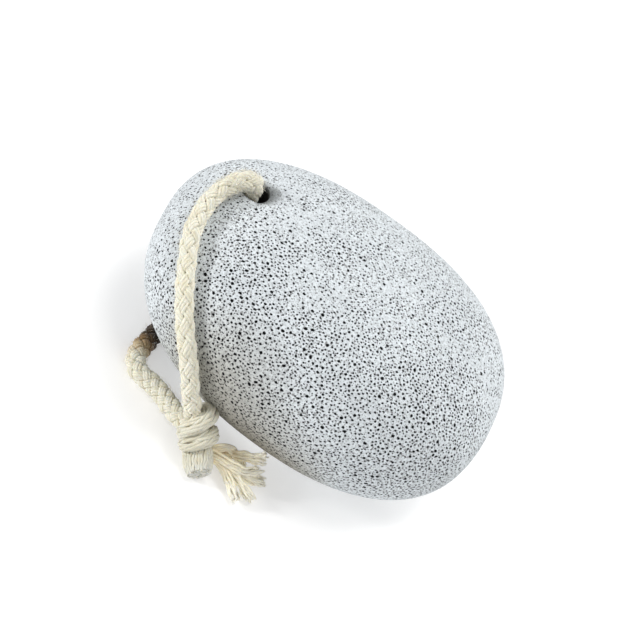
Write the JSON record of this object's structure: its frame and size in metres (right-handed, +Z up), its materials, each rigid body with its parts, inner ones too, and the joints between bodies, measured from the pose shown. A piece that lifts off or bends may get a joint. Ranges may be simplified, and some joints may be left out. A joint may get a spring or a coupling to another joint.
{
  "type": "pumice stone",
  "caption": "Rounded grey pumice foot stone with a porous skin, threaded through a drilled hole onto a loop of braided cream cotton cord that is knotted beside it.",
  "frame": {"origin": "centre of the stone's own box at the surface it lies on", "axes": "+X along the stone towards its wide end, away from the drilled hole; +Y across it, away from the knot; +Z up through its thickness"},
  "size_m": [0.0977, 0.0877, 0.0464],
  "materials": {
    "pumice": "dry matte porous volcanic glass, pale grey with dark pores",
    "cotton": "undyed braided cotton yarn, soft and matte"
  },
  "bodies": {
    "root": {"pumice_stone": "pumice", "upper_cord": "cotton", "lower_cord": "cotton", "knot": "cotton", "cut_end": "cotton", "frayed_end": "cotton"}
  },
  "joints": []
}
